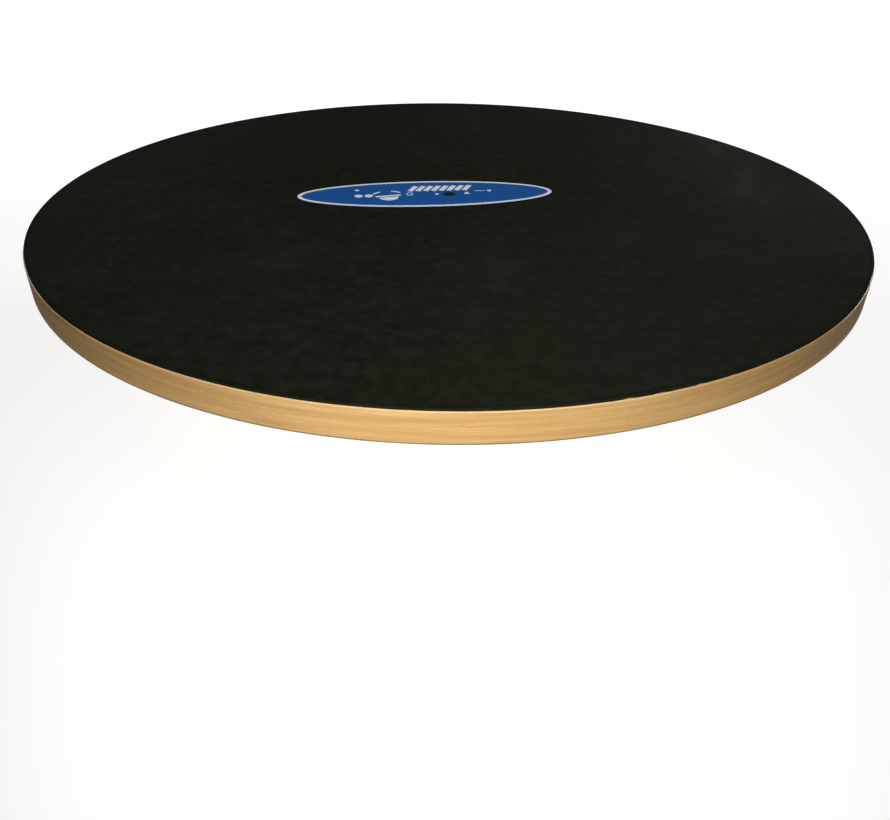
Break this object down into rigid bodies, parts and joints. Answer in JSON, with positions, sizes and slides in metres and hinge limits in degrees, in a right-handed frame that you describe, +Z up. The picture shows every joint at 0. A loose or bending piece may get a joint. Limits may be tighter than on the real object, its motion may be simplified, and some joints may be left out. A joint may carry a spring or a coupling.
{
  "type": "balance board",
  "caption": "Round wobble board: edge-banded deck with a black rubber grip mat and a small oval label, standing on a turned wooden half ball.",
  "frame": {"origin": "centre of the half ball's flat foot, on the floor", "axes": "+Z up through the half ball and the deck's centre; +X along the oval label towards its right end; +Y away from a reader of the label"},
  "size_m": [0.508, 0.508, 0.0785],
  "materials": {
    "fibreboard": "matte",
    "backing_laminate": "matte",
    "face_laminate": "gloss",
    "band_wood": "satin",
    "grip_rubber": "matte",
    "label_film": "satin",
    "black_steel": "satin",
    "turned_wood": "satin",
    "dowel_wood": "matte"
  },
  "bodies": {
    "root": {"deck_core": "fibreboard", "upper_laminate": "backing_laminate", "underside_laminate": "face_laminate", "edge_band": "band_wood", "grip_mat": "grip_rubber", "oval_label": "label_film", "centre_screw": "black_steel", "half_ball": "turned_wood", "dowel_left": "dowel_wood", "dowel_right": "dowel_wood"}
  },
  "joints": []
}
